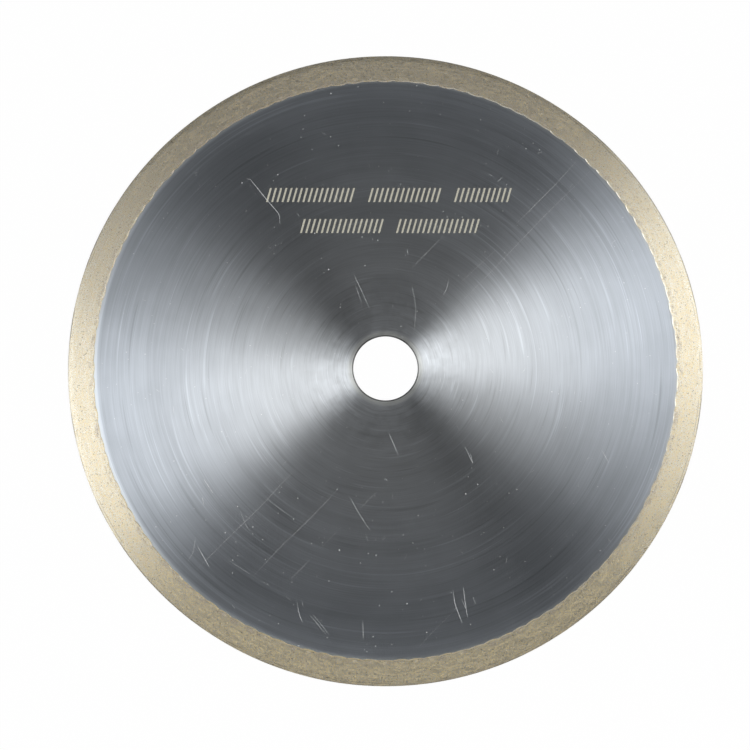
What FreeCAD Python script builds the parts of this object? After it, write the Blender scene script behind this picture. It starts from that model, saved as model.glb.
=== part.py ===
import FreeCAD, Part
import os

import Sketcher

# Continuous-rim diamond cutting disc, 125 x 0.4 x 12.7 mm.
#
# The disc is two pieces that are made into one rigid wheel. A thin steel blank carries the
# bore and the clamping faces. A ring of sintered bronze bond, which holds the diamond grit,
# is pressed and fired round the blank's edge. It grips the blank by 120 pointed teeth round
# that edge, and with a thin lip over each face, whose inner margin has one lobe at every
# notch between the teeth. The blank's border, under the lips and just inside them, is ground a
# little thinner than the rest, and the flat clamping faces end where it begins.
#
# Frame: the origin is on the bore's axis at the disc's underside, and +Z runs along the bore.
# Both pieces are drawn about the disc's mid-plane and lifted by half its thickness.

SIZES = [
    ("outside_diameter", "125.0", "over the bond ring"),
    ("bond_thickness", "0.4", "over both faces of the bond ring: the width of the cut"),
    ("bond_width", "5.0", "from the outside to the cusps between the lips' lobes"),
    ("edge_break", "0.06", "bevel that dressing leaves on the two outer edges"),
    ("bore_diameter", "12.7", "half-inch arbor bore"),
    ("bore_break", "0.04", "deburring of the bore's two edges"),
    ("blank_thickness", "0.3", "steel sheet, thinner than the bond so that the cut clears it"),
    ("notch_count", "120", "notches round the blank's edge, with a pointed tooth between each two"),
    ("notch_root", "1.3", "breadth of a notch's flat root"),
    ("notch_depth", "0.9", "from the points of the teeth to the notch roots"),
    ("lip_cover", "0.25", "steel that the lips cover between their cusps and the notch roots"),
    ("lobe_reach", "0.3", "how far the tip of a lobe stands in from the cusps beside it"),
    ("lobe_radius", "4.2", "curve of a lobe's foot, seen on the disc's face"),
    ("slope_run", "0.3", "breadth of the slope between a lobe's foot and the bond's flat face"),
    ("relief_depth", "0.02", "ground off each face of the blank's border"),
    ("relief_width", "0.8", "from the tips of the lobes in to the flat clamping face"),
    ("relief_run", "0.7", "breadth of the shallow slope down from that face to the border"),
]

doc = FreeCAD.newDocument("diamond_cutting_disc")
sheet = doc.addObject("Spreadsheet::Sheet", "sizes")
for row, (alias, number, meaning) in enumerate(SIZES, start=1):
    sheet.set("A%d" % row, meaning)
    sheet.set("B%d" % row, number)
    sheet.setAlias("B%d" % row, alias)
doc.recompute()

# Radii and heights that more than one piece uses, as expressions on the sheet.
MARGIN_RADIUS = "(sizes.outside_diameter / 2 - sizes.bond_width)"
NOTCH_ROOT_RADIUS = "(%s + sizes.lip_cover)" % MARGIN_RADIUS
BLANK_RADIUS = "(%s + sizes.notch_depth)" % NOTCH_ROOT_RADIUS
LOBE_TIP_RADIUS = "(%s - sizes.lobe_reach)" % MARGIN_RADIUS
HALF_BOND = "(sizes.bond_thickness / 2)"
HALF_BLANK = "(sizes.blank_thickness / 2)"
HALF_BORDER = "(%s - sizes.relief_depth)" % HALF_BLANK
HALF_PITCH = "(180 deg / sizes.notch_count)"

# Degrees of its own curve that a lobe is drawn through: enough for its ends to be inside the bond.
LOBE_TURN = 90

ORIGIN_POINT = (-1, 1)


def amount(expression):
    """The present value of an expression on the sheet."""
    return float(sheet.evalExpression(expression))


def point(x, y):
    return FreeCAD.Vector(amount(x), amount(y), 0)


def new_body(name):
    """A body whose own mid-plane lies at half the disc's thickness."""
    body = doc.addObject("PartDesign::Body", name)
    body.Label = name
    body.setExpression(".Placement.Base.z", HALF_BOND)
    return body


def origin_part(body, role):
    return next(part for part in body.Origin.OriginFeatures if part.Role == role)


def new_sketch(body, role, name):
    """A sketch on one of the body's own origin planes."""
    sketch = body.newObject("Sketcher::SketchObject", name)
    sketch.AttachmentSupport = [(origin_part(body, role), "")]
    sketch.MapMode = "FlatFace"
    return sketch


def tie(sketch, kind, where, name, expression):
    """Adds a dimension to a sketch and binds it to the sheet."""
    number = sketch.addConstraint(Sketcher.Constraint(kind, *where, amount(expression)))
    sketch.renameConstraint(number, name)
    sketch.setExpression("Constraints." + name, expression)


def centred_circle(sketch, name, diameter):
    """A circle about the disc's axis."""
    up = FreeCAD.Vector(0, 0, 1)
    circle = sketch.addGeometry(Part.Circle(FreeCAD.Vector(0, 0, 0), up, amount(diameter) / 2))
    sketch.addConstraint(Sketcher.Constraint("Coincident", circle, 3, *ORIGIN_POINT))
    tie(sketch, "Diameter", (circle,), name, diameter)


def closed_outline(sketch, corners):
    """Straight edges through named corners, each held by its two distances from the origin."""
    points = [point(x, y) for _, x, y in corners]
    edges = []
    for here, there in zip(points, points[1:] + points[:1]):
        edges.append(sketch.addGeometry(Part.LineSegment(here, there)))
    for before, after in zip(edges[-1:] + edges[:-1], edges):
        sketch.addConstraint(Sketcher.Constraint("Coincident", before, 2, after, 1))
    for edge, (name, x, y) in zip(edges, corners):
        tie(sketch, "DistanceX", (*ORIGIN_POINT, edge, 1), name + "_across", x)
        tie(sketch, "DistanceY", (*ORIGIN_POINT, edge, 1), name + "_up", y)


def pad(body, sketch, name, thickness):
    """Grows a sketch equally to both sides of the mid-plane."""
    feature = body.newObject("PartDesign::Pad", name)
    feature.Profile = sketch
    feature.SideType = "Symmetric"
    feature.setExpression("Length", thickness)
    doc.recompute()
    return feature


def polar_pattern(body, original, name, count):
    """Repeats a feature evenly round the disc's axis."""
    feature = body.newObject("PartDesign::PolarPattern", name)
    feature.Originals = [original]
    feature.Axis = (origin_part(body, "Z_Axis"), [""])
    feature.Angle = 360
    feature.setExpression("Occurrences", count)
    body.Tip = feature
    doc.recompute()
    return feature


def circular_edges(feature, radius):
    """Names of the feature's round edges of one radius about the disc's axis."""
    names = []
    for number, edge in enumerate(feature.Shape.Edges, start=1):
        if not isinstance(edge.Curve, Part.Circle):
            continue
        on_axis = edge.Curve.Center.x ** 2 + edge.Curve.Center.y ** 2 < Part.Precision.confusion()
        if on_axis and abs(edge.Curve.Radius - radius) < Part.Precision.confusion():
            names.append("Edge%d" % number)
    return names


def must_remove(feature, before):
    """A cut that points away from the solid removes nothing and shows no error."""
    if not feature.Shape.Volume < before.Shape.Volume:
        raise RuntimeError("%s removes nothing" % feature.Name)


def make_steel_core():
    """The blank: a steel disc with a deburred bore, a ground border and a notched edge."""
    body = new_body("steel_core")

    outline = new_sketch(body, "XY_Plane", "blank_outline")
    centred_circle(outline, "uncut_edge", "2 * %s + sizes.notch_depth" % BLANK_RADIUS)
    centred_circle(outline, "bore", "sizes.bore_diameter")
    blank = pad(body, outline, "blank", "sizes.blank_thickness")

    bore_break = body.newObject("PartDesign::Chamfer", "bore_break")
    bore_break.Base = (blank, circular_edges(blank, amount("sizes.bore_diameter / 2")))
    bore_break.setExpression("Size", "sizes.bore_break")
    doc.recompute()
    must_remove(bore_break, blank)

    border = grind_border(body, bore_break)

    notch_outline = new_sketch(body, "XY_Plane", "notch_outline")
    draw_notch(notch_outline)
    notch = body.newObject("PartDesign::Pocket", "notch")
    notch.Profile = notch_outline
    notch.Type = "ThroughAll"
    notch.SideType = "Symmetric"
    doc.recompute()
    must_remove(notch, border)

    notches = polar_pattern(body, notch, "notches", "sizes.notch_count")
    must_remove(notches, notch)
    return body


def grind_border(body, before):
    """The shallow relief that is ground into both faces of the blank, out to its uncut edge."""
    section = new_sketch(body, "XZ_Plane", "relief_section")
    face_end = LOBE_TIP_RADIUS + " - sizes.relief_width"
    past_edge = BLANK_RADIUS + " + sizes.notch_depth"
    closed_outline(section, [
        ("face_end", face_end, HALF_BLANK),
        ("floor_start", face_end + " + sizes.relief_run", HALF_BORDER),
        ("floor_end", past_edge, HALF_BORDER),
        ("above_end", past_edge, HALF_BLANK),
    ])
    upper = body.newObject("PartDesign::Groove", "upper_relief")
    upper.Profile = section
    upper.ReferenceAxis = (section, ["V_Axis"])
    upper.Angle = 360
    doc.recompute()
    must_remove(upper, before)

    both = body.newObject("PartDesign::Mirrored", "lower_relief")
    both.Originals = [upper]
    both.MirrorPlane = (origin_part(body, "XY_Plane"), [""])
    body.Tip = both
    doc.recompute()
    must_remove(both, upper)
    return both


def draw_notch(sketch):
    """One notch: its flanks run from the flat root through the points of the two teeth beside it.

    They run as far again past the points, where neighbouring notches overlap, so nothing is
    left of the uncut edge and each tooth is as sharp as the crossing of its flanks.
    """
    half_root = "(sizes.notch_root / 2)"
    tooth_across = "%s * cos%s" % (BLANK_RADIUS, HALF_PITCH)
    tooth_up = "%s * sin%s" % (BLANK_RADIUS, HALF_PITCH)
    mouth_across = "(2 * %s - %s)" % (tooth_across, NOTCH_ROOT_RADIUS)
    mouth_up = "(2 * %s - %s)" % (tooth_up, half_root)
    closed_outline(sketch, [
        ("root_right", NOTCH_ROOT_RADIUS, "-" + half_root),
        ("mouth_right", mouth_across, "-" + mouth_up),
        ("mouth_left", mouth_across, mouth_up),
        ("root_left", NOTCH_ROOT_RADIUS, half_root),
    ])


def make_bond_form():
    """The bond ring as pressed, before the blank's own form is taken out of it."""
    body = new_body("bond_form")

    outline = new_sketch(body, "XY_Plane", "ring_outline")
    centred_circle(outline, "outside", "sizes.outside_diameter")
    centred_circle(outline, "inside", "%s + %s" % (NOTCH_ROOT_RADIUS, BLANK_RADIUS))
    pad(body, outline, "ring", "sizes.bond_thickness")

    lobe = make_lobe(body)
    lobes = polar_pattern(body, lobe, "lobes", "sizes.notch_count")

    edge_break = body.newObject("PartDesign::Chamfer", "edge_break")
    edge_break.Base = (lobes, circular_edges(lobes, amount("sizes.outside_diameter / 2")))
    edge_break.setExpression("Size", "sizes.edge_break")
    doc.recompute()
    must_remove(edge_break, lobes)
    return body


def make_lobe(body):
    """One lobe of the lips' margin: a sloped section turned about the lobe's own centre.

    Neighbouring lobes meet in the cusps, which lie over the teeth between the notches. The
    slope runs on inside the blank's thickness, so that the blank's border cuts it to its foot.
    """
    section = new_sketch(body, "XZ_Plane", "lobe_section")
    crest = LOBE_TIP_RADIUS + " + sizes.slope_run"
    buried = LOBE_TIP_RADIUS + " - sizes.slope_run"
    buried_height = "(2 * %s - %s)" % (HALF_BORDER, HALF_BOND)
    closed_outline(section, [
        ("lower_root", BLANK_RADIUS, "-" + HALF_BOND),
        ("upper_root", BLANK_RADIUS, HALF_BOND),
        ("upper_crest", crest, HALF_BOND),
        ("upper_buried", buried, buried_height),
        ("lower_buried", buried, "-" + buried_height),
        ("lower_crest", crest, "-" + HALF_BOND),
    ])
    centre = LOBE_TIP_RADIUS + " + sizes.lobe_radius"
    ends = (point(centre, "-" + HALF_BOND), point(centre, HALF_BOND))
    axis = section.addGeometry(Part.LineSegment(*ends), True)
    section.addConstraint(Sketcher.Constraint("Vertical", axis))
    tie(section, "DistanceX", (*ORIGIN_POINT, axis, 1), "centre_across", centre)
    tie(section, "DistanceY", (*ORIGIN_POINT, axis, 1), "centre_low", "-" + HALF_BOND)
    tie(section, "DistanceY", (*ORIGIN_POINT, axis, 2), "centre_high", HALF_BOND)

    lobe = body.newObject("PartDesign::Revolution", "lobe")
    lobe.Profile = section
    lobe.ReferenceAxis = (section, ["Axis0"])
    lobe.Midplane = True
    lobe.Angle = LOBE_TURN
    doc.recompute()
    return lobe


def make_diamond_rim(bond_form, steel_core):
    """The bond ring: it fills the notches and laps both faces, so the blank is its mould."""
    rim = doc.addObject("Part::Cut", "diamond_rim")
    rim.Label = "diamond_rim"
    rim.Base = bond_form
    rim.Tool = steel_core
    doc.recompute()
    must_remove(rim, bond_form)
    return rim


def check_document():
    """Stops if any object of the document has failed."""
    for item in doc.Objects:
        if "Invalid" in item.State or "Error" in item.State:
            raise RuntimeError("%s failed: %s" % (item.Name, item.State))


def check_piece(piece):
    """Stops unless the piece is one valid closed solid."""
    shape = piece.Shape
    if shape.isNull() or not shape.isValid():
        raise RuntimeError("%s has no valid shape" % piece.Label)
    if len(shape.Solids) != 1:
        raise RuntimeError("%s is %d solids, not one" % (piece.Label, len(shape.Solids)))


steel_core = make_steel_core()
bond_form = make_bond_form()
diamond_rim = make_diamond_rim(bond_form, steel_core)
doc.recompute()

check_document()
os.makedirs("parts", exist_ok=True)
for piece in (steel_core, diamond_rim):
    check_piece(piece)
    piece.Shape.exportStep("parts/%s.step" % piece.Label)
    print("%s: %.2f mm3, %d faces" % (piece.Label, piece.Shape.Volume, len(piece.Shape.Faces)))
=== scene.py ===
import math

import bpy
import numpy as np
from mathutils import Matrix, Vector


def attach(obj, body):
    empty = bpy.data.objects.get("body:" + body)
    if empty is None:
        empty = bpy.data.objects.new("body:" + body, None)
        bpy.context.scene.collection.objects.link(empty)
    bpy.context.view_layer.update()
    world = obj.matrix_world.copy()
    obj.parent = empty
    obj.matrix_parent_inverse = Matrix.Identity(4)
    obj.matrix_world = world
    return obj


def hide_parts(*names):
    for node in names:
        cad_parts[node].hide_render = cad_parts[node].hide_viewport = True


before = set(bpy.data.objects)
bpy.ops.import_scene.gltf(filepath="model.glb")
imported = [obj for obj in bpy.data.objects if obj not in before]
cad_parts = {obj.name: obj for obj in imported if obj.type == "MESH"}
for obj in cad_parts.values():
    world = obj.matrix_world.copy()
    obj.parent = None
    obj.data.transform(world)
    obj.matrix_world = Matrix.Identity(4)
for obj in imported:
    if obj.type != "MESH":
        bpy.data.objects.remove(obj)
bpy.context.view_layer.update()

# The disc lies flat with its underside at height 0 and the bore's axis along +Z.
# Sizes are in millimetres, as in the disc's source, and turned into metres where a mesh is made.
MM = 0.001

OUTSIDE_RADIUS = 62.5
MID_HEIGHT = 0.2
HALF_BOND = 0.2
HALF_BLANK = 0.15
BORE_RADIUS = 6.35
BORE_BREAK = 0.04
EDGE_BREAK = 0.06
MARGIN_RADIUS = 57.5
LOBE_TIP_RADIUS = 57.2
LOBE_RADIUS = 4.2
LOBES = 120
SLOPE_RUN = 0.3
NOTCH_ROOT_RADIUS = 57.75
NOTCH_ROOT_HALF = 0.65
TOOTH_RADIUS = 58.65

# The border's relief is drawn deeper and a little wider than in the source, so that the shallow
# slope down to it shows beside the rim: the source has 0.13 and 56.4 here.
HALF_BORDER = 0.095
FACE_RADIUS = 55.95

FACE = MID_HEIGHT + HALF_BLANK
BORDER = MID_HEIGHT + HALF_BORDER
BOND_FACE = MID_HEIGHT + HALF_BOND

# First number of the random draws. Each use adds its own step, so that no two run alike.
SEED = 41


# Meshes


def finish_mesh(name, points, faces, material):
    """Makes a piece of the disc from points in millimetres, smooth all over."""
    mesh = bpy.data.meshes.new(name)
    mesh.from_pydata((np.asarray(points) * MM).tolist(), [], faces)
    mesh.shade_smooth()
    mesh.materials.append(material)
    piece = bpy.data.objects.new(name, mesh)
    bpy.context.scene.collection.objects.link(piece)
    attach(piece, "root")
    return piece


def ring_skin(name, turns, rings, material):
    """A closed skin round the disc's axis.

    Each ring is (radius, height, crease) along the section, outward over the top, down the
    outside, inward below and up the inside. A radius may differ from turn to turn.
    """
    columns = len(turns)
    radii = np.array([np.broadcast_to(radius, columns) for radius, _, _ in rings])
    heights = np.array([np.broadcast_to(height, columns) for _, height, _ in rings])
    points = np.stack([radii * np.cos(turns), radii * np.sin(turns), heights], axis=-1)
    row = np.arange(len(rings))[:, None]
    column = np.arange(columns)[None, :]
    next_row = (row + 1) % len(rings)
    next_column = (column + 1) % columns
    faces = np.stack([
        row * columns + column,
        next_row * columns + column,
        next_row * columns + next_column,
        row * columns + next_column,
    ], axis=-1)
    piece = finish_mesh(name, points.reshape(-1, 3), faces.reshape(-1, 4).tolist(), material)
    crease_edges(piece.data, columns, [number for number, ring in enumerate(rings) if ring[2]])
    return piece


def crease_edges(mesh, columns, crease_rings):
    """Keeps the skin's sharp rings sharp under smooth shading."""
    ends = np.zeros(len(mesh.edges) * 2, dtype=np.int32)
    mesh.edges.foreach_get("vertices", ends)
    ring_of_ends = ends.reshape(-1, 2) // columns
    along_ring = ring_of_ends[:, 0] == ring_of_ends[:, 1]
    sharp = along_ring & np.isin(ring_of_ends[:, 0], crease_rings)
    mesh.attributes.new("sharp_edge", "BOOLEAN", "EDGE").data.foreach_set("value", sharp)


def turns_of(columns):
    """Evenly spaced angles, once round the disc."""
    return np.linspace(0, 2 * math.pi, columns, endpoint=False)


def soft_random(turns, waves, seed):
    """A smooth random line round the disc, about -1 to 1, with this many waves a turn at most."""
    numbers = np.random.default_rng(seed)
    orders = np.arange(1, waves + 1)
    heights = numbers.normal(size=waves)
    shifts = numbers.uniform(0, 2 * math.pi, waves)
    line = np.sum(heights[:, None] * np.cos(orders[:, None] * turns + shifts[:, None]), axis=0)
    return line / np.abs(line).max()


def off_lobe(turns):
    """The angle from the nearest lobe's middle."""
    pitch = 2 * math.pi / LOBES
    return (turns + pitch / 2) % pitch - pitch / 2


def lobe_line(turns):
    """Distance from the axis of the lobes' feet, each an arc about its lobe's own centre."""
    centre = LOBE_TIP_RADIUS + LOBE_RADIUS
    turn = off_lobe(turns)
    return centre * np.cos(turn) - np.sqrt(LOBE_RADIUS ** 2 - (centre * np.sin(turn)) ** 2)


def tooth_line(turns):
    """Distance from the axis of the blank's notched edge."""
    turn = np.abs(off_lobe(turns))
    half_pitch = math.pi / LOBES
    root_turn = math.atan2(NOTCH_ROOT_HALF, NOTCH_ROOT_RADIUS)
    up_the_flank = np.clip((turn - root_turn) / (half_pitch - root_turn), 0, 1)
    return NOTCH_ROOT_RADIUS + (TOOTH_RADIUS - NOTCH_ROOT_RADIUS) * up_the_flank


def mirrored_below(rings):
    """The same rings on the disc's lower half, in the order that goes on round the section."""
    return [(radius, 2 * MID_HEIGHT - height, crease) for radius, height, crease in reversed(rings)]


# The blank's section: the bore's deburred edge as (out, down) in shares of the break, the radii of
# the flat face, and the slope to the border as (out from the face's end, down).
BLANK_COLUMNS = 12 * LOBES
BORE_EDGE = [(0, 1), (0.1, 0.6), (0.35, 0.25), (0.7, 0.06), (1, 0), (2, 0)]
FACE_RADII = [9, 14, 22, 32, 42, 50, 55]
BORDER_SLOPE = [(-0.1, 0), (0.2, 0.0025), (0.5, 0.009), (0.8, 0.02), (1.1, 0.035), (1.35, 0.049)]
BORDER_START = MARGIN_RADIUS + 0.05


def make_steel_blank(material):
    """The steel core: bore with broken edges, flat faces, ground border and notched edge."""
    turns = turns_of(BLANK_COLUMNS)
    top = [(BORE_RADIUS + out * BORE_BREAK, FACE - down * BORE_BREAK, False)
           for out, down in BORE_EDGE]
    top += [(radius, FACE, False) for radius in FACE_RADII]
    top += [(FACE_RADIUS + out, FACE - down, False) for out, down in BORDER_SLOPE]
    top += [(BORDER_START, BORDER, False), (tooth_line(turns), BORDER, True)]
    blank = ring_skin("steel_blank", turns, top + mirrored_below(top), material)
    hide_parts("steel_core")


# The bond ring's section: the lips' slope as (out, up) in shares of its run and rise, rings across
# the flat face in shares of its width, and the dressed bevel as (in, down) in shares of the break.
# The lower face takes fewer of the rings.
BOND_COLUMNS = 20 * LOBES
LIP_SLOPE = [(0, 0), (0.18, 0.3), (0.42, 0.66), (0.7, 0.91), (1, 1)]
FLAT_SHARES = [0.03, 0.07, 0.12, 0.18, 0.25, 0.4, 0.6, 0.8, 0.96, 1]
BEVEL = [(1.2, 0), (0.55, 0.2), (0.15, 0.6), (0, 1.2)]
LOWER_RINGS = [0, 2, 4, 6, 9, 12, 14, 15, 16, 17, 18]
LOBE_FULLNESS = (0.2, 0.95)
CREST_SWAY = 0.18
EDGE_SWAY = 0.012
SINK_DEPTH = 0.012
SINK_BREADTH = 0.85 * NOTCH_ROOT_HALF
SINK_LENGTH = 0.45
SINK_RADIUS = NOTCH_ROOT_RADIUS + 0.4


def make_bond_ring(material):
    """The sintered rim: lobed lips with soft slopes, sinks over the notches, dressed edge."""
    turns = turns_of(BOND_COLUMNS)
    lobe_of_turn = np.rint(turns / (2 * math.pi / LOBES)).astype(int) % LOBES
    numbers = np.random.default_rng(SEED)
    fullness = numbers.uniform(*LOBE_FULLNESS, LOBES)[lobe_of_turn]
    foot = MARGIN_RADIUS - (MARGIN_RADIUS - lobe_line(turns)) * fullness
    crest = foot + SLOPE_RUN * (1 + CREST_SWAY * soft_random(turns, 170, SEED + 1))
    edge = OUTSIDE_RADIUS - EDGE_SWAY * (1 + soft_random(turns, 400, SEED + 2))
    sink_across = off_lobe(turns) * NOTCH_ROOT_RADIUS / SINK_BREADTH
    sink_depth = SINK_DEPTH * numbers.uniform(0.3, 1, LOBES)[lobe_of_turn]
    sink_depth = sink_depth * np.exp(-sink_across ** 2)

    def on_face(share):
        """A ring of the flat face, with the crest's line fading out towards the edge."""
        inner = crest * (1 - share) ** 2 + (crest.mean() * (1 - (1 - share) ** 2))
        radius = inner + share * (OUTSIDE_RADIUS - 2 * EDGE_BREAK - crest.mean())
        sunk = sink_depth * np.exp(-((radius - SINK_RADIUS) / SINK_LENGTH) ** 2)
        return (radius, BOND_FACE - sunk, False)

    top = [(foot + (crest - foot) * out, BORDER + (BOND_FACE - BORDER) * up, out == 0)
           for out, up in LIP_SLOPE]
    top += [on_face(share) for share in FLAT_SHARES]
    top += [(edge - inward * EDGE_BREAK, BOND_FACE - down * EDGE_BREAK, False)
            for inward, down in BEVEL]
    bottom = [top[number] for number in LOWER_RINGS]
    root = tooth_line(turns)
    seat = [(root, 2 * MID_HEIGHT - BORDER, True), (root, BORDER, True)]
    ring = ring_skin("bond_ring", turns, top + mirrored_below(bottom) + seat, material)
    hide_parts("diamond_rim")


# Diamond grains: how many there are, how big, and how far they stand out of the bond.
GRAINS_ABOVE = 2600
GRAINS_BELOW = 1300
GRAINS_ON_EDGE = 1500
GRAIN_FIELD = (58.9, 62.35)
FACE_GRAIN = (0.03, 0.075)
FACE_GRAIN_STAND = 0.007
EDGE_GRAIN = (0.03, 0.06)
EDGE_GRAIN_STAND = 0.016
EDGE_GRAIN_REACH = 0.12
GRAIN_SIDES = 6
GRAIN_FOOT_DEPTH = 0.004
GRAIN_CROWN = 0.62


def make_grains(material):
    """Diamond grains that stand a little proud of the dressed bond, on both faces and the edge."""
    numbers = np.random.default_rng(SEED + 3)
    inner, outer = GRAIN_FIELD
    places = []
    for count, side in ((GRAINS_ABOVE, 1), (GRAINS_BELOW, -1)):
        radius = np.sqrt(numbers.uniform(inner ** 2, outer ** 2, count))
        turn = numbers.uniform(0, 2 * math.pi, count)
        height = np.full(count, MID_HEIGHT + side * HALF_BOND)
        centres = np.stack([radius * np.cos(turn), radius * np.sin(turn), height], axis=-1)
        ways = np.tile([0.0, 0.0, float(side)], (count, 1))
        places.append((centres, ways, numbers.uniform(*FACE_GRAIN, count), FACE_GRAIN_STAND))
    count = GRAINS_ON_EDGE
    turn = numbers.uniform(0, 2 * math.pi, count)
    height = numbers.uniform(MID_HEIGHT - EDGE_GRAIN_REACH, MID_HEIGHT + EDGE_GRAIN_REACH, count)
    ways = np.stack([np.cos(turn), np.sin(turn), np.zeros(count)], axis=-1)
    centres = ways * (OUTSIDE_RADIUS - EDGE_SWAY)
    centres[:, 2] = height
    places.append((centres, ways, numbers.uniform(*EDGE_GRAIN, count), EDGE_GRAIN_STAND))

    points = np.concatenate([grain_points(numbers, *place) for place in places])
    faces = []
    for first in range(0, len(points) * 2 * GRAIN_SIDES, 2 * GRAIN_SIDES):
        crown = first + GRAIN_SIDES
        for corner in range(GRAIN_SIDES):
            after = (corner + 1) % GRAIN_SIDES
            faces.append([first + corner, first + after, crown + after, crown + corner])
        faces.append([crown + corner for corner in range(GRAIN_SIDES)])
    grains = finish_mesh("diamond_grains", points.reshape(-1, 3), faces, material)
    grains.data.shade_flat()


def grain_points(numbers, centres, ways, sizes, stand):
    """Twelve corners a grain: a six-sided foot in the bond and a smaller worn face above it."""
    shape = (len(centres), GRAIN_SIDES)
    side = np.cross(ways, [0.31, 0.22, 0.92])
    side /= np.linalg.norm(side, axis=1, keepdims=True)
    across = np.cross(ways, side)
    spin = numbers.uniform(0, 2 * math.pi, (shape[0], 1)) + turns_of(GRAIN_SIDES)
    spin = spin + numbers.uniform(-0.25, 0.25, shape)
    rim = side[:, None] * np.cos(spin)[..., None] + across[:, None] * np.sin(spin)[..., None]
    reach = sizes[:, None, None] * numbers.uniform(0.8, 1.15, shape + (1,))
    tilt = numbers.uniform(0.3, 1, shape + (1,)) * stand
    foot = centres[:, None] + rim * reach - ways[:, None] * GRAIN_FOOT_DEPTH
    crown = centres[:, None] + rim * reach * GRAIN_CROWN + ways[:, None] * tilt
    return np.concatenate([foot, crown], axis=1)


# The photograph's camera, and the way from a place in its frame to the disc's face. Columns and
# rows are in pixels, the distance in millimetres.

PHOTO_SIDE = 750
BORE_COLUMN = 385.46
BORE_ROW = 368.34
CAMERA_TILT = math.radians(7.0)
CAMERA_DISTANCE = 836.6
LENS = 204.0
SENSOR = 36.0
FOCAL_PIXELS = LENS / SENSOR * PHOTO_SIDE


def on_disc(column, row):
    """Millimetres on the disc's face under a place in the photograph's frame."""
    right = (column - BORE_COLUMN) / FOCAL_PIXELS
    up = (BORE_ROW - row) / FOCAL_PIXELS
    y = CAMERA_DISTANCE * up / (math.cos(CAMERA_TILT) - up * math.sin(CAMERA_TILT))
    x = right * (CAMERA_DISTANCE + y * math.sin(CAMERA_TILT))
    return x, y


def make_camera():
    """Looks down, leaning a little to the -Y side, with the bore where it is in the photograph."""
    camera = bpy.data.objects.new("camera", bpy.data.cameras.new("camera"))
    camera.data.lens = LENS
    camera.data.sensor_width = SENSOR
    camera.data.clip_start = 0.02
    camera.data.clip_end = 20
    camera.data.dof.use_dof = False
    camera.rotation_euler = (CAMERA_TILT, 0, 0)
    scale = CAMERA_DISTANCE / FOCAL_PIXELS
    aside = (PHOTO_SIDE / 2 - BORE_COLUMN) * scale
    above = (BORE_ROW - PHOTO_SIDE / 2) * scale
    up = Vector((0, math.cos(CAMERA_TILT), math.sin(CAMERA_TILT)))
    back = Vector((0, -math.sin(CAMERA_TILT), math.cos(CAMERA_TILT)))
    centre = Vector((0, 0, FACE))
    camera.location = (centre + back * CAMERA_DISTANCE + Vector((aside, 0, 0)) + up * above) * MM
    bpy.context.scene.collection.objects.link(camera)
    bpy.context.scene.camera = camera


# Marks on the steel face: (width in millimetres, places in the photograph's frame)

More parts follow.
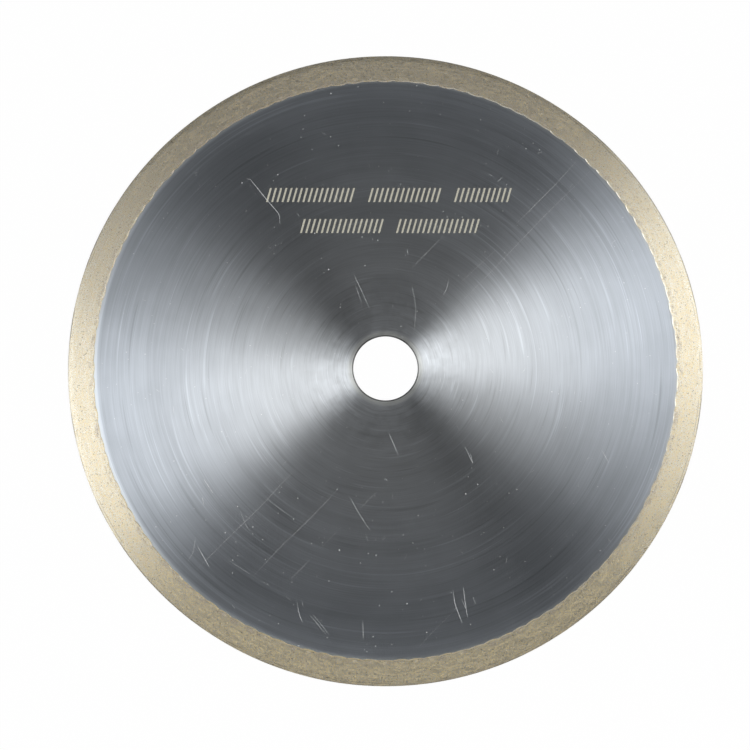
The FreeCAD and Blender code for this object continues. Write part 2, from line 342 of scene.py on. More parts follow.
SCRATCHES = [
    (0.11, [(246.5, 178.6), (250.4, 179.4), (266.7, 199.6), (279.5, 214.4), (280.0, 223.6)]),
    (0.07, [(354.0, 275.1), (362.0, 291.5), (368.8, 307.2)]),
    (0.05, [(355.5, 285.3), (361.6, 302.7)]),
    (0.04, [(411.9, 285.7), (414.5, 298.0), (416.0, 311.2), (414.0, 330.6)]),
    (0.06, [(448.7, 279.1), (447.1, 287.8), (443.1, 295.4)]),
    (0.05, [(407.3, 249.0), (408.2, 255.6)]),
    (0.035, [(590.0, 171.0), (541.0, 219.4), (503.3, 259.2), (469.6, 293.4), (447.1, 317.3)]),
    (0.03, [(577.3, 160.4), (555.0, 185.0), (514.5, 225.5)]),
    (0.03, [(497.0, 249.0), (461.4, 281.6)]),
    (0.03, [(444.0, 235.2), (410.4, 269.4)]),
    (0.08, [(388.6, 432.8), (392.7, 441.9), (398.3, 455.2)]),
    (0.08, [(465.1, 447.0), (472.8, 463.4)]),
    (0.07, [(470.2, 452.7), (472.8, 463.4)]),
    (0.08, [(425.8, 397.0), (427.5, 398.6)]),
    (0.07, [(499.8, 416.9), (503.2, 423.1)]),
    (0.09, [(385.0, 478.2), (387.6, 481.2)]),
    (0.033, [(300.0, 465.4), (283.9, 481.2), (260.4, 506.7), (230.8, 535.3), (213.5, 552.7),
             (197.1, 569.0)]),
    (0.022, [(300.0, 528.2), (282.9, 544.5), (252.2, 577.1)]),
    (0.030, [(267.6, 499.6), (291.0, 516.9)]),
    (0.030, [(228.8, 560.8), (250.2, 574.1)]),
    (0.09, [(197.1, 545.5), (203.0, 556.0), (209.4, 567.4)]),
    (0.05, [(195.6, 537.3), (193.1, 552.7), (188.0, 560.8)]),
    (0.09, [(203.8, 479.2), (213.0, 493.5)]),
    (0.09, [(202.2, 497.0), (203.8, 504.7)]),
    (0.035, [(240.5, 511.8), (246.1, 526.1), (250.2, 531.7)]),
    (0.030, [(337.3, 490.0), (316.7, 511.8), (292.4, 536.0)]),
    (0.030, [(377.2, 491.2), (359.1, 509.4)]),
    (0.022, [(342.1, 526.4), (319.1, 549.4)]),
    (0.08, [(350.6, 498.5), (357.9, 511.8), (366.3, 525.1), (370.0, 530.0)]),
    (0.030, [(313.0, 556.6), (290.0, 579.7)]),
    (0.08, [(297.3, 602.7), (298.5, 612.4), (302.5, 623.3)]),
    (0.04, [(301.5, 599.7), (303.3, 606.9)]),
    (0.05, [(310.0, 615.4), (318.0, 624.6), (326.4, 635.4)]),
    (0.05, [(312.4, 614.2), (321.0, 624.4), (328.8, 634.8)]),
    (0.07, [(362.7, 620.9), (363.3, 639.6)]),
    (0.1, [(453.0, 590.0), (454.8, 603.9), (462.1, 623.3)]),
    (0.1, [(463.3, 586.9), (465.1, 602.7), (467.5, 617.2)]),
    (0.05, [(461.5, 599.1), (466.3, 610.0)]),
    (0.05, [(473.0, 597.2), (475.4, 603.9)]),
    (0.022, [(453.6, 611.2), (429.3, 635.4), (418.4, 647.5)]),
    (0.09, [(601.8, 450.0), (609.0, 463.3)]),
    (0.04, [(297.3, 212.9), (299.5, 217.0)]),
    (0.04, [(607.8, 538.4), (611.0, 542.0)]),
]

# Nicks: (radius in millimetres, place in the photograph's frame)
NICKS = [
    (0.13, (242.0, 182.8)), (0.11, (277.8, 174.6)), (0.08, (274.4, 227.1)), (0.08, (275.6, 245.5)),
    (0.09, (274.0, 253.7)), (0.15, (328.7, 269.5)), (0.11, (362.1, 236.8)), (0.1, (340.2, 307.2)),
    (0.06, (380.5, 279.0)), (0.11, (417.3, 311.2)), (0.12, (462.6, 400.1)), (0.12, (451.3, 409.3)),
    (0.1, (489.1, 404.4)), (0.06, (490.1, 414.4)), (0.07, (440.6, 433.0)), (0.07, (471.7, 468.0)),
    (0.09, (468.2, 476.6)), (0.11, (477.7, 484.6)), (0.12, (465.6, 493.8)), (0.11, (516.6, 489.7)),
    (0.11, (418.2, 515.6)), (0.1, (412.6, 543.0)), (0.08, (409.5, 430.2)), (0.07, (404.4, 408.3)),
    (0.08, (434.5, 482.6)), (0.09, (518.2, 453.7)), (0.12, (237.4, 506.5)), (0.12, (252.8, 526.9)),
    (0.15, (225.2, 532.8)), (0.08, (252.8, 533.8)), (0.1, (297.7, 498.1)), (0.1, (278.3, 513.1)),
    (0.1, (293.6, 519.0)), (0.1, (232.3, 573.1)), (0.1, (176.7, 515.9)), (0.08, (283.4, 572.6)),
    (0.17, (339.4, 550.2)), (0.09, (382.7, 502.1)), (0.09, (413.0, 543.1)), (0.12, (376.0, 555.4)),
    (0.09, (368.2, 553.6)), (0.09, (360.3, 563.1)), (0.1, (328.8, 581.1)), (0.09, (316.9, 576.3)),
    (0.13, (391.8, 592.0)), (0.13, (406.9, 603.7)), (0.12, (379.4, 605.7)), (0.12, (426.6, 632.4)),
    (0.14, (298.7, 645.7)), (0.09, (327.0, 637.8)), (0.1, (373.0, 636.6)), (0.09, (375.4, 646.3)),
    (0.1, (366.9, 651.8)), (0.1, (465.7, 494.2)), (0.08, (349.4, 528.8)), (0.07, (319.1, 537.9)),
    (0.1, (291.8, 582.1)), (0.08, (470.5, 624.5)), (0.13, (331.1, 93.4)), (0.1, (358.2, 86.7)),
    (0.1, (416.8, 85.7)), (0.11, (383.7, 102.2)), (0.09, (303.1, 129.1)), (0.1, (312.2, 149.5)),
    (0.14, (651.1, 469.4)), (0.08, (626.6, 467.0)), (0.1, (517.0, 489.4)), (0.07, (518.8, 454.0)),
    (0.1, (600.0, 550.6)), (0.09, (566.6, 578.1)), (0.08, (500.0, 556.6)), (0.09, (529.8, 211.2)),
]

# Burrs stand up beside each scratch and nick: heights over the face, in millimetres.
BURR_FOOT = 0.0006
SCRATCH_CREST = 0.004
RIBBON_STEP = 0.7
RIBBON_STEPS_LEAST = 6

# Scattered marks beside the listed ones.
FINE_SCRATCHES = 70
FINE_SCRATCH_FIELD = (9, 55.5)
FINE_SCRATCH_LENGTH = (0.3, 1.6)
FINE_SCRATCH_WIDTH = (0.02, 0.05)
FINE_NICKS = 420
FINE_NICK_FIELD = (8, 56)
FINE_NICK_RADIUS = (0.03, 0.1)

# A nick from its foot over the burr to its middle, as (share of the radius, height).
NICK_RINGS = [(1, BURR_FOOT), (0.7, 0.006), (0.25, 0.003)]
NICK_CORNERS = 8
NICK_UNEVEN = (0.75, 1.2)


def ribbon(points, faces, path, width):
    """Adds a low ridge along a path on the steel's face, tapered at both ends."""
    path = np.asarray(path, dtype=float)
    steps = np.linalg.norm(np.diff(path, axis=0), axis=1)
    along = np.concatenate([[0], np.cumsum(steps)])
    count = max(RIBBON_STEPS_LEAST, int(along[-1] / RIBBON_STEP))
    places = np.linspace(0, along[-1], count)
    x = np.interp(places, along, path[:, 0])
    y = np.interp(places, along, path[:, 1])
    tangent = np.gradient(np.stack([x, y], axis=-1), axis=0)
    tangent /= np.linalg.norm(tangent, axis=1, keepdims=True)
    taper = np.sin(np.pi * (places / along[-1] * 0.94 + 0.03)) ** 0.5
    middle = np.stack([x, y], axis=-1)
    aside = np.stack([-tangent[:, 1], tangent[:, 0]], axis=-1) * (width / 2 * taper)[:, None]
    first = len(points)
    for number in range(count):
        points.append([*(middle[number] + aside[number]), FACE + BURR_FOOT])
        points.append([*middle[number], FACE + SCRATCH_CREST])
        points.append([*(middle[number] - aside[number]), FACE + BURR_FOOT])
    for number in range(count - 1):
        here = first + 3 * number
        faces.append([here + 1, here, here + 3, here + 4])
        faces.append([here + 2, here + 1, here + 4, here + 5])


def scattered(numbers, field):
    """A random place on the steel's face, evenly spread between two radii."""
    inner, outer = field
    radius = math.sqrt(numbers.uniform(inner ** 2, outer ** 2))
    turn = numbers.uniform(0, 2 * math.pi)
    return np.array([radius * math.cos(turn), radius * math.sin(turn)])


def make_scratches(material):
    """Scratches of handling, raised as the low burrs that catch the light."""
    points, faces = [], []
    for width, places in SCRATCHES:
        ribbon(points, faces, [on_disc(*place) for place in places], width)
    numbers = np.random.default_rng(SEED + 4)
    for _ in range(FINE_SCRATCHES):
        start = scattered(numbers, FINE_SCRATCH_FIELD)
        way = numbers.uniform(0, 2 * math.pi)
        length = numbers.uniform(*FINE_SCRATCH_LENGTH)
        end = start + length * np.array([math.cos(way), math.sin(way)])
        ribbon(points, faces, [start, end], numbers.uniform(*FINE_SCRATCH_WIDTH))
    finish_mesh("face_scratches", points, faces, material)


def make_nicks(material):
    """Small dings on the steel's face, each a low burr round its middle."""
    numbers = np.random.default_rng(SEED + 5)
    spots = [(radius, on_disc(*place)) for radius, place in NICKS]
    for _ in range(FINE_NICKS):
        place = scattered(numbers, FINE_NICK_FIELD)
        spots.append((numbers.uniform(*FINE_NICK_RADIUS), place))
    corner_turns = turns_of(NICK_CORNERS)
    points, faces = [], []
    for radius, (x, y) in spots:
        first = len(points)
        for share, height in NICK_RINGS:
            reach = radius * share * numbers.uniform(*NICK_UNEVEN, NICK_CORNERS)
            for turn, out in zip(corner_turns, reach):
                points.append([x + out * math.cos(turn), y + out * math.sin(turn), FACE + height])
        for ring in range(len(NICK_RINGS) - 1):
            outer = first + ring * NICK_CORNERS
            inner = outer + NICK_CORNERS
            for corner in range(NICK_CORNERS):
                after = (corner + 1) % NICK_CORNERS
                faces.append([outer + corner, outer + after, inner + after, inner + corner])
        middle = first + (len(NICK_RINGS) - 1) * NICK_CORNERS
        faces.append([middle + corner for corner in range(NICK_CORNERS)])
    finish_mesh("face_nicks", points, faces, material)


# Etched marks: two plain rows of slanted strokes on the face, between the bore and the rim. Each
# row is (row of its middle, blocks from column to column), in pixels of the photograph's frame.

MARK_ROWS = [
    (195.0, [(266, 356), (368, 443), (454, 513)]),
    (226.0, [(300, 384), (396, 480)]),
]
STROKE_HEIGHT = 14.0
STROKE_PITCH = 5.2
STROKE_WIDTH = 1.9
STROKE_SLANT = 4.0
ETCH_HEIGHT = 0.0012


def make_etched_marks(material):
    """Rows of slanted strokes, plain fields of tone, lying on the steel like laser etching."""
    points, faces = [], []
    for middle, blocks in MARK_ROWS:
        foot, top = middle + STROKE_HEIGHT / 2, middle - STROKE_HEIGHT / 2
        for left, right in blocks:
            column = left
            while column + STROKE_WIDTH + STROKE_SLANT <= right:
                first = len(points)
                for place in (
                    (column, foot),
                    (column + STROKE_WIDTH, foot),
                    (column + STROKE_WIDTH + STROKE_SLANT, top),
                    (column + STROKE_SLANT, top),
                ):
                    points.append([*on_disc(*place), FACE + ETCH_HEIGHT])
                faces.append([first, first + 1, first + 2, first + 3])
                column += STROKE_PITCH
    finish_mesh("etched_marks", points, faces, material)


# Nodes and the effects that the finishes share


class Nodes:
    """Adds nodes to one material or group, wiring each to what it takes."""

    def __init__(self, tree):
        self.tree = tree

    def add(self, kind, **settings):
        node = self.tree.nodes.new(kind)
        for name, value in settings.items():
            setattr(node, name, value)
        return node

    def feed(self, node, name, value):
        """Wires an output to a node's socket, or sets the socket's own number."""
        socket = node.inputs[name]
        if isinstance(value, bpy.types.NodeSocket):
            self.tree.links.new(value, socket)
        else:
            socket.default_value = value

    def number(self, operation, first, second=0.0, third=0.0):
        node = self.add("ShaderNodeMath", operation=operation)
        for place, value in enumerate((first, second, third)):
            self.feed(node, place, value)
        return node.outputs[0]

    def both(self, first, second):
        """Where two masks meet."""
        return self.number("MULTIPLY", first, second)

    def inverse(self, mask):
        return self.number("SUBTRACT", 1.0, mask)

    def add_up(self, start, *shares):
        """The start plus each mask times its weight."""
        total = start
        for mask, weight in shares:
            total = self.number("MULTIPLY_ADD", mask, weight, total)
        return total

    def vector(self, operation, first, second=None, scale=None):
        node = self.add("ShaderNodeVectorMath", operation=operation)
        self.feed(node, 0, first)
        if second is not None:
            self.feed(node, 1, second)
        if scale is not None:
            self.feed(node, "Scale", scale)
        return node.outputs["Value" if operation in ("LENGTH", "DOT_PRODUCT") else "Vector"]

    def ease(self, value, low, high):
        """0 below low, 1 above high and a soft step between them."""
        node = self.add("ShaderNodeMapRange", interpolation_type="SMOOTHSTEP")
        self.feed(node, "Value", value)
        self.feed(node, "From Min", low)
        self.feed(node, "From Max", high)
        return node.outputs[0]

    def noise(self, place, detail, roughness):
        node = self.add("ShaderNodeTexNoise", noise_dimensions="3D")
        self.feed(node, "Vector", place)
        self.feed(node, "Scale", 1.0)
        self.feed(node, "Detail", detail)
        self.feed(node, "Roughness", roughness)
        return node.outputs[0]

    def blend(self, share, first, second):
        """From the first colour to the second by a share from 0 to 1."""
        node = self.add("ShaderNodeMix", data_type="RGBA")
        self.feed(node, 0, share)
        self.feed(node, 6, first)
        self.feed(node, 7, second)
        return node.outputs[2]

    def paint(self, colour, *coats):
        """Lays coats over a colour in turn, each as its mask, its cover and its own colour."""
        for mask, cover, coat in coats:
            colour = self.blend(self.number("MULTIPLY", mask, cover), colour, coat)
        return colour

    def group(self, group, **values):
        node = self.add("ShaderNodeGroup", node_tree=group)
        for name, value in values.items():
            self.feed(node, name, value)
        return node.outputs


def new_group(name, takes, gives):
    """A shader node group with named float inputs and named outputs."""
    tree = bpy.data.node_groups.new(name, "ShaderNodeTree")
    for socket, value in takes.items():
        made = tree.interface.new_socket(name=socket, in_out="INPUT", socket_type="NodeSocketFloat")
        made.default_value = value
    for socket, kind in gives.items():
        tree.interface.new_socket(name=socket, in_out="OUTPUT", socket_type=kind)
    nodes = Nodes(tree)
    return nodes, nodes.add("NodeGroupInput").outputs, nodes.add("NodeGroupOutput")


def place_on_disc_group():
    """Radius and height in millimetres, the way out from the axis, and the place itself."""
    nodes, _, out = new_group("Place on disc", {}, {
        "Radius": "NodeSocketFloat", "Way out": "NodeSocketVector", "Place": "NodeSocketVector",
        "Height": "NodeSocketFloat",
    })
    coordinates = nodes.add("ShaderNodeTexCoord").outputs["Object"]
    place = nodes.vector("SCALE", coordinates, scale=1 / MM)
    flat = nodes.vector("MULTIPLY", place, (1.0, 1.0, 0.0))
    nodes.feed(out, "Radius", nodes.vector("LENGTH", flat))
    nodes.feed(out, "Way out", nodes.vector("NORMALIZE", flat))
    nodes.feed(out, "Place", place)
    nodes.feed(out, "Height", nodes.vector("DOT_PRODUCT", place, (0.0, 0.0, 1.0)))
    return nodes.tree


def turned_lines_group(place_group):
    """Fine lines in circles about the bore, from 0 to 1: brushing, grinding and dressing marks.

    Spacing is the distance between lines in millimetres. Breaks is how often a line fades out
    and another takes over on its way round. Each Shift is another pattern of the same kind.
    """
    nodes, takes, out = new_group("Turned lines", {"Spacing": 0.3, "Breaks": 4.0, "Shift": 0.0},
                                  {"Lines": "NodeSocketFloat"})
    place = nodes.group(place_group)
    round_the_bore = nodes.vector("SCALE", place["Way out"], scale=takes["Breaks"])
    lift = nodes.add("ShaderNodeCombineXYZ")
    nodes.feed(lift, "X", takes["Shift"])
    nodes.feed(lift, "Z", nodes.number("DIVIDE", place["Radius"], takes["Spacing"]))
    lines = nodes.noise(nodes.vector("ADD", round_the_bore, lift.outputs[0]), 2.0, 0.6)
    nodes.feed(out, "Lines", nodes.ease(lines, 0.28, 0.72))
    return nodes.tree


def speckle_group(place_group):
    """Grains and patches from 0 to 1. Size is in millimetres, Cover the share that is 1."""
    nodes, takes, out = new_group(
        "Speckle", {"Size": 0.2, "Cover": 0.5, "Softness": 0.1, "Shift": 0.0},
        {"Speckle": "NodeSocketFloat"})
    place = nodes.group(place_group)
    shift = nodes.add("ShaderNodeCombineXYZ")
    nodes.feed(shift, "X", takes["Shift"])
    scaled = nodes.vector("SCALE", place["Place"], scale=nodes.number("DIVIDE", 1.0, takes["Size"]))
    grain = nodes.noise(nodes.vector("ADD", scaled, shift.outputs[0]), 2.0, 0.55)
    edge = nodes.number("MULTIPLY_ADD", takes["Cover"], -0.4, 0.7)
    low = nodes.number("SUBTRACT", edge, takes["Softness"])
    high = nodes.number("ADD", edge, takes["Softness"])
    nodes.feed(out, "Speckle", nodes.ease(grain, low, high))
    return nodes.tree


def ring_band_group(place_group):
    """1 between two radii in millimetres, fading to 0 over Fade at either side."""
    nodes, takes, out = new_group("Ring band", {"Inside": 10.0, "Outside": 20.0, "Fade": 1.0},
                                  {"Band": "NodeSocketFloat"})
    radius = nodes.group(place_group)["Radius"]
    before = nodes.number("SUBTRACT", takes["Inside"], takes["Fade"])
    after = nodes.number("ADD", takes["Outside"], takes["Fade"])
    entering = nodes.ease(radius, before, takes["Inside"])
    leaving = nodes.ease(radius, takes["Outside"], after)
    nodes.feed(out, "Band", nodes.both(entering, nodes.inverse(leaving)))
    return nodes.tree


class Finish(Nodes):
    """One finish of the disc: its material, its Principled shader and the shared effects."""

    # A radius in air outside the disc, where a band that takes in its edge may end.
    IN_AIR = 70.0

    def __init__(self, name, groups):
        self.material = bpy.data.materials.new(name)
        self.material.use_nodes = True
        super().__init__(self.material.node_tree)
        self.shader = self.tree.nodes["Principled BSDF"]
        self.groups = groups

    def place(self):
        return self.group(self.groups["place"])

    def set(self, name, value):
        """Feeds the shader itself."""
        self.feed(self.shader, name, value)

    def lines(self, spacing, breaks, shift=0.0):
        group = self.groups["lines"]
        return self.group(group, Spacing=spacing, Breaks=breaks, Shift=shift)["Lines"]

    def speckle(self, size, cover, softness, shift):
        group = self.groups["speckle"]
        return self.group(group, Size=size, Cover=cover, Softness=softness, Shift=shift)["Speckle"]

    def band(self, inside, outside, fade):
        group = self.groups["band"]
        return self.group(group, Inside=inside, Outside=outside, Fade=fade)["Band"]

    def by_bore(self, reach, fade):
        """1 out to this far from the bore, and fading on outward."""
        return self.band(0.0, BORE_RADIUS + reach, fade)

    def by_edge(self, reach, fade):
        """1 to this far from the outside, and fading on inward."""
        return self.band(OUTSIDE_RADIUS - reach, self.IN_AIR, fade)

    def toward(self, x, y):
        """From 1 on the disc's side that lies this way to -1 on the other side."""
        return self.vector("DOT_PRODUCT", self.place()["Way out"], (x, y, 0.0))

    def brush_round_the_bore(self, strength):
        """Turns the gloss so that it spreads across circular brushing."""
        tangent = self.add("ShaderNodeTangent", direction_type="RADIAL", axis="Z")
        self.set("Tangent", tangent.outputs[0])
        self.set("Anisotropic", strength)
        self.set("Anisotropic Rotation", 0.25)

    def roughen(self, height, strength, depth):
        """Fine relief under the gloss, this many millimetres deep."""
        bump = self.add("ShaderNodeBump")
        self.feed(bump, "Height", height)
        self.feed(bump, "Strength", strength)
        self.feed(bump, "Distance", depth * MM)
        self.set("Normal", bump.outputs[0])


# Finishes of this disc, with their colours

STEEL_BY_BORE = (0.5, 0.523, 0.545, 1)
STEEL_BY_RIM = (0.482, 0.52, 0.568, 1)
WORN_STEEL = (0.42, 0.42, 0.38, 1)
SCORE_DARK = (0.55, 0.57, 0.58, 1)
SCORE_BRIGHT = (0.88, 0.89, 0.89, 1)
ETCHING_DARK = (0.5, 0.48, 0.38, 1)
ETCHING_PALE = (0.66, 0.64, 0.54, 1)
DARK_DIAMOND = (0.16, 0.14, 0.1, 1)
CLEAR_DIAMOND = (0.72, 0.68, 0.5, 1)
DULL_BROWN = (0.125, 0.075, 0.012, 1)
DULL_STRAW = (0.98, 0.75, 0.25, 1)
COPPER = (0.6, 0.34, 0.22, 1)
MARGIN_BROWN = (0.16, 0.12, 0.05, 1)
# Painted shade towards the bond's outer edge.
OUTER_PAINTED_SHADE = (0.2, 0.15, 0.07, 1)
DASH_BROWN = (0.24, 0.15, 0.08, 1)
DASH_BRONZE = (0.3, 0.19, 0.11, 1)
BRONZE = (0.97, 0.78, 0.38, 1)
BURNISHED_BRONZE = (1.0, 0.99, 0.92, 1)
PIT_BROWN = (0.12, 0.09, 0.05, 1)
SINK_BROWN = (0.2, 0.14, 0.08, 1)
# Painted highlight on the lips' slopes.
LIP_PAINTED_HIGHLIGHT = (0.88, 0.87, 0.8, 1)
STEP_BROWN = (0.16, 0.12, 0.07, 1)
EDGE_BLACK = (0.09, 0.07, 0.06, 1)


def brushed_steel(groups):
    """The blank's faces: circular brushing at three scales, a ground border with a painted
    highlight on its left side, a worn bore edge and a painted shadow ring round the bore.
    """
    finish = Finish("brushed steel", groups)
    fine = finish.lines(0.17, 3.2)
    middle = finish.lines(0.42, 1.5, shift=20.0)
    broad = finish.lines(2.6, 0.8, shift=50.0)
    scores = finish.lines(0.75, 1.1, shift=80.0)
    bright_scores = finish.ease(scores, 0.86, 1.0)
    dark_scores = finish.inverse(finish.ease(scores, 0.0, 0.14))
    outward = finish.ease(finish.place()["Radius"], 14.0, 62.0)
    haze = finish.speckle(9.0, 0.5, 0.2, shift=7.0)
    dust = finish.band(56.6, 60.0, fade=5.0)
    by_bore = finish.by_bore(0.25, fade=9.0)
    # A near-black ring on the steel just round the bore: painted shadow of the bore's edge.
    bore_painted_shadow = finish.by_bore(0.19, fade=0.12)
    stains = finish.speckle(2.4, 0.45, 0.12, shift=27.0)
    stains = finish.both(stains, finish.by_bore(2.65, fade=12.0))
    clamp_rings = finish.ease(finish.lines(0.42, 0.5, shift=93.0), 0.55, 0.9)
    clamp_rings = finish.both(clamp_rings, finish.by_bore(1.15, fade=7.0))
    border = finish.band(LOBE_TIP_RADIUS, 58.0, fade=0.8)
    # The ground border is a little lighter all round, and much lighter on its left side: a painted
    # highlight where its slope would catch the left lamp.
    ground_tone_and_painted_glow = finish.add_up(0.06, (finish.ease(finish.toward(-0.98, -0.17), -0.2, 0.7), 0.4))
    worn = finish.by_bore(0.4, fade=1.1)
    by_rim = finish.band(57.15, 59.0, fade=0.3)
    worn = finish.number("MAXIMUM", worn, finish.number("MULTIPLY", by_rim, 0.45))

    tone = finish.add_up(
        0.95, (fine, 0.11), (middle, 0.08), (bright_scores, 0.17), (dark_scores, -0.13),
        (outward, -0.2), (broad, 0.05), (border, ground_tone_and_painted_glow), (by_bore, 0.2), (haze, 0.06),
        (stains, -0.12), (bore_painted_shadow, -0.92), (clamp_rings, -0.16))
    colour = finish.blend(outward, STEEL_BY_BORE, STEEL_BY_RIM)
    colour = finish.paint(colour, (worn, 0.5, WORN_STEEL))
    finish.set("Base Color", finish.vector("SCALE", colour, scale=tone))
    finish.set("Roughness", finish.add_up(0.39, (middle, 0.05), (broad, 0.03), (by_bore, 0.05)))
    finish.set("Metallic", finish.add_up(1.0, (dust, -0.06), (worn, -0.24)))
    finish.brush_round_the_bore(0.93)
    finish.roughen(fine, 0.3, depth=0.002)
    return finish.material


def sintered_bond(groups):
    """Bronze bond: burnished metal grains in a dull matrix, dressed in circles, with pits."""
    finish = Finish("sintered bronze bond", groups)
    burnish = finish.speckle(0.13, 0.62, 0.06, shift=0.0)
    patches = finish.speckle(0.2, 0.5, 0.1, shift=11.0)
    pits = finish.speckle(0.3, 0.1, 0.04, shift=31.0)
    copper = finish.speckle(0.36, 0.3, 0.08, shift=57.0)
    flecks = finish.speckle(0.34, 0.5, 0.2, shift=91.0)
    dressing = finish.lines(0.22, 16.0, shift=3.0)
    swirl = finish.lines(1.1, 7.0, shift=9.0)
    dabs = finish.lines(0.55, 34.0, shift=61.0)
    dashes = finish.ease(finish.lines(0.8, 34.0, shift=83.0), 0.52, 0.8)
    dashes = finish.both(dashes, finish.band(MARGIN_RADIUS + 0.2, MARGIN_RADIUS + 0.75, fade=0.35))
    by_margin = finish.band(50.0, MARGIN_RADIUS + 0.5, fade=1.1)
    sinks = sink_marks(finish)
    # Painted light: the bond's dull colour is paler, and its outer edge less shaded, on the front
    # (-Y) side, as if lit from there.
    painted_front_light = finish.toward(0.3, -0.95)
    edge_line = finish.add_up(0.22, (finish.speckle(13.0, 0.5, 0.1, shift=37.0), 0.45))
    edge_line = finish.both(finish.by_edge(0.08, fade=0.2), edge_line)
    # Painted shade on the dull colour towards the outer edge, less on the front side; the same mask
    # raises the shine there.
    shade_out = finish.both(finish.by_edge(0.3, fade=1.3), finish.add_up(0.6, (painted_front_light, -0.4)))
    step = finish.band(OUTSIDE_RADIUS - 0.62, OUTSIDE_RADIUS - 0.54, fade=0.1)
    step = finish.both(step, finish.ease(swirl, 0.5, 0.75))
    sloped, lip = lip_masks(finish)

    shine = finish.add_up(
        0.535, (patches, 0.1), (burnish, 0.34), (dressing, 0.14), (dabs, -0.15), (flecks, -0.2),
        (shade_out, 0.2))
    shine = finish.both(shine, finish.add_up(1.0, (sloped, -0.5)))
    # Painted highlight on the lips' slopes, in colour and in shine, mostly on the right side.
    lip_highlight_shine = finish.number("MULTIPLY", lip, 0.75)
    shine = finish.number("MAXIMUM", finish.number("MINIMUM", shine, 1.0), lip_highlight_shine)
    # The dull colour's paleness: its own tone from swirl, flecks, dabs and grains, plus painted
    # light on the front side.
    paler = finish.add_up(
        0.18, (painted_front_light, 0.42), (swirl, 0.12), (flecks, 0.5), (dabs, 0.4), (burnish, -0.3))
    dull = finish.paint(
        finish.blend(paler, DULL_BROWN, DULL_STRAW),
        (copper, 0.6, COPPER), (by_margin, 0.2, MARGIN_BROWN), (shade_out, 0.3, OUTER_PAINTED_SHADE),
        (dashes, 0.75, DASH_BROWN))
    colour = finish.paint(
        finish.blend(shine, dull, finish.blend(burnish, BRONZE, BURNISHED_BRONZE)),
        (dashes, 0.16, DASH_BRONZE), (pits, 0.55, PIT_BROWN), (sinks, 0.3, SINK_BROWN),
        (lip, 0.6, LIP_PAINTED_HIGHLIGHT), (step, 0.3, STEP_BROWN))
    finish.set("Base Color", finish.blend(edge_line, colour, EDGE_BLACK))
    clean = finish.add_up(1.0, (sinks, -0.45), (edge_line, -0.5), (dashes, -0.1))
    finish.set("Metallic", finish.both(shine, clean))
    finish.set("Roughness", finish.add_up(0.49, (burnish, -0.13), (sinks, 0.15)))
    finish.brush_round_the_bore(0.89)
    finish.roughen(finish.add_up(burnish, (pits, -1.0), (dressing, 0.5)), 0.45, depth=0.006)
    return finish.material


def lip_masks(finish):
    """The lips' slope, and a painted highlight in patches on it: strong on the right side, fading
    to none on the left.
    """
    place = finish.place()
    off_middle = finish.number("ABSOLUTE", finish.number("SUBTRACT", place["Height"], MID_HEIGHT))
    at_face = finish.ease(off_middle, HALF_BOND - 0.03, HALF_BOND - 0.004)
    past_lip = finish.ease(place["Radius"], MARGIN_RADIUS + 0.7, MARGIN_RADIUS + 1.1)
    sloped = finish.both(finish.inverse(at_face), finish.inverse(past_lip))
    highlight_breakup = finish.speckle(0.7, 0.68, 0.12, shift=71.0)
    right_side = finish.ease(finish.toward(1.0, 0.1), -0.3, 0.6)
    return sloped, finish.both(finish.both(sloped, highlight_breakup), right_side)


def sink_marks(finish):
    """Dull spots where the bond has sunk over the blank's notches, one at every lobe.

    Each is an uneven oval, longer round the disc than across the rim, with its own strength.
    """
    half_length, half_width = 0.6, 0.3
    place = finish.place()
    split = finish.add("ShaderNodeSeparateXYZ")
    finish.feed(split, 0, place["Way out"])
    turn = finish.number("ARCTAN2", split.outputs["Y"], split.outputs["X"])
    lobe = finish.number("MULTIPLY", turn, LOBES / (2 * math.pi))
    number = finish.number("ROUND", lobe)
    pitch = 2 * math.pi * NOTCH_ROOT_RADIUS / LOBES
    aside = finish.number("SUBTRACT", lobe, number)
    aside = finish.number("MULTIPLY", aside, pitch / half_length)
    outward = finish.number("SUBTRACT", place["Radius"], NOTCH_ROOT_RADIUS + 0.15)
    outward = finish.number("DIVIDE", outward, half_width)
    uneven = finish.noise(finish.vector("SCALE", place["Place"], scale=3.6), 2.0, 0.6)
    spread = finish.number("ADD", finish.both(aside, aside), finish.both(outward, outward))
    spread = finish.add_up(spread, (uneven, 2.4))
    spot = finish.inverse(finish.ease(spread, 1.1, 2.2))
    own = finish.add("ShaderNodeTexWhiteNoise", noise_dimensions="1D")
    finish.feed(own, "W", number)
    return finish.both(spot, finish.add_up(0.1, (own.outputs["Value"], 0.9)))


def scored_steel(groups):
    """Bare steel turned up by a scratch: brighter than the brushing in the dark, with no grain."""
    finish = Finish("scored steel", groups)
    tone = finish.speckle(0.6, 0.6, 0.2, shift=2.0)
    finish.set("Base Color", finish.blend(tone, SCORE_DARK, SCORE_BRIGHT))
    finish.set("Metallic", 0.6)
    finish.set("Roughness", finish.add_up(0.6, (tone, -0.1)))
    return finish.material


def etched_steel(groups):
    """Laser etching: a pale straw, matt and finely grained skin on the steel."""
    finish = Finish("etched steel", groups)
    grain = finish.speckle(0.12, 0.5, 0.15, shift=5.0)
    tone = finish.add_up(finish.number("MULTIPLY", grain, 0.6), (finish.lines(0.16, 7.0), 0.4))
    finish.set("Base Color", finish.blend(tone, ETCHING_DARK, ETCHING_PALE))
    finish.set("Metallic", 0.15)
    finish.set("Roughness", finish.add_up(0.6, (grain, 0.15)))
    return finish.material


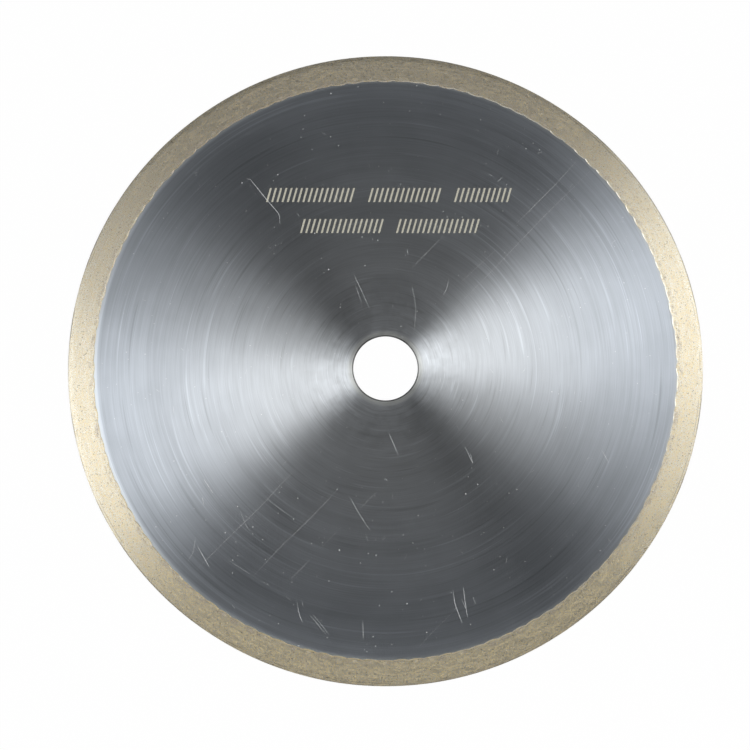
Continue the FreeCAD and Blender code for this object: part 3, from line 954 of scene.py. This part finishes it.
def diamond_grit(groups):
    """Synthetic diamond: glassy straw-grey grains, some clear and some dark."""
    finish = Finish("diamond grit", groups)
    tone = finish.speckle(0.3, 0.5, 0.12, shift=17.0)
    finish.set("Base Color", finish.blend(tone, DARK_DIAMOND, CLEAR_DIAMOND))
    finish.set("Roughness", finish.add_up(0.15, (tone, 0.15)))
    finish.set("IOR", 2.4)
    return finish.material


# Studio, in metres

FLOOR_REACH = 3.2
FLOOR_SIDES = 64
WALL_HEIGHT = 0.5
FLOOR_DROP = 0.01 * MM
FLOOR_WHITE = 0.94
FLOOR_LIFT = 0.975
ROOM_LIGHT = 0.09


def lifted_white(name, diffuse, lift):
    """A white that shows whiter to the camera and in gloss than it lights the object."""
    material = bpy.data.materials.new(name)
    material.use_nodes = True
    nodes = Nodes(material.node_tree)
    material.node_tree.nodes.clear()
    paint = nodes.add("ShaderNodeBsdfDiffuse")
    nodes.feed(paint, "Color", (diffuse, diffuse, diffuse, 1))
    glow = nodes.add("ShaderNodeEmission")
    nodes.feed(glow, "Strength", 1.0)
    rays = nodes.add("ShaderNodeLightPath").outputs
    seen = nodes.number("MAXIMUM", rays["Is Camera Ray"], rays["Is Glossy Ray"])
    seen = nodes.number("MAXIMUM", seen, rays["Is Transmission Ray"])
    mix = nodes.add("ShaderNodeMixShader")
    nodes.feed(mix, 0, nodes.number("MULTIPLY", seen, lift))
    nodes.feed(mix, 1, paint.outputs[0])
    nodes.feed(mix, 2, glow.outputs[0])
    out = nodes.add("ShaderNodeOutputMaterial")
    nodes.feed(out, "Surface", mix.outputs[0])
    return material


def lay_floor():
    """A white floor under the disc with a low white wall far off all round."""
    rim = [(FLOOR_REACH * math.cos(turn), FLOOR_REACH * math.sin(turn))
           for turn in turns_of(FLOOR_SIDES)]
    points = [(x, y, -FLOOR_DROP) for x, y in rim] + [(x, y, WALL_HEIGHT) for x, y in rim]
    faces = [list(range(FLOOR_SIDES))]
    for number in range(FLOOR_SIDES):
        after = (number + 1) % FLOOR_SIDES
        faces.append([number, number + FLOOR_SIDES, after + FLOOR_SIDES, after])
    mesh = bpy.data.meshes.new("floor")
    mesh.from_pydata(points, [], faces)
    mesh.materials.append(lifted_white("studio white", FLOOR_WHITE, FLOOR_LIFT))
    floor = bpy.data.objects.new("floor", mesh)
    bpy.context.scene.collection.objects.link(floor)


def hang_lamp(name, azimuth, zenith, distance, width, height, power):
    """A soft lamp that looks at the disc, by its azimuth and angle off the vertical in degrees."""
    lamp = bpy.data.lights.new(name, "AREA")
    lamp.shape = "RECTANGLE"
    lamp.size = width
    lamp.size_y = height
    lamp.energy = power
    turn, lean = math.radians(azimuth), math.radians(zenith)
    way = Vector((math.sin(lean) * math.cos(turn), math.sin(lean) * math.sin(turn), math.cos(lean)))
    holder = bpy.data.objects.new(name, lamp)
    holder.location = way * distance
    holder.rotation_mode = "QUATERNION"
    holder.rotation_quaternion = way.to_track_quat("Z", "Y")
    bpy.context.scene.collection.objects.link(holder)


def light_studio():
    """A large soft lamp on each side, a narrow one beside the right one and a low one in front."""
    hang_lamp("left lamp", 184.5, 44.0, 2.4, 1.38, 1.2, 28.5)
    hang_lamp("right lamp", 17.0, 44.0, 2.4, 1.38, 1.2, 22.0)
    hang_lamp("side lamp", -15.0, 44.0, 2.4, 0.6, 1.1, 6.0)
    hang_lamp("low lamp", -92.0, 60.0, 0.62, 0.8, 0.16, 0.76)
    world = bpy.data.worlds.new("room")
    world.use_nodes = True
    room = world.node_tree.nodes["Background"]
    room.inputs["Color"].default_value = (1, 1, 1, 1)
    room.inputs["Strength"].default_value = ROOM_LIGHT
    bpy.context.scene.world = world
    bpy.context.scene.view_settings.view_transform = "Standard"


place_group = place_on_disc_group()
GROUPS = {
    "place": place_group,
    "lines": turned_lines_group(place_group),
    "speckle": speckle_group(place_group),
    "band": ring_band_group(place_group),
}

make_steel_blank(brushed_steel(GROUPS))
make_bond_ring(sintered_bond(GROUPS))
make_grains(diamond_grit(GROUPS))
scored = scored_steel(GROUPS)
make_scratches(scored)
make_nicks(scored)
make_etched_marks(etched_steel(GROUPS))
make_camera()
light_studio()
lay_floor()
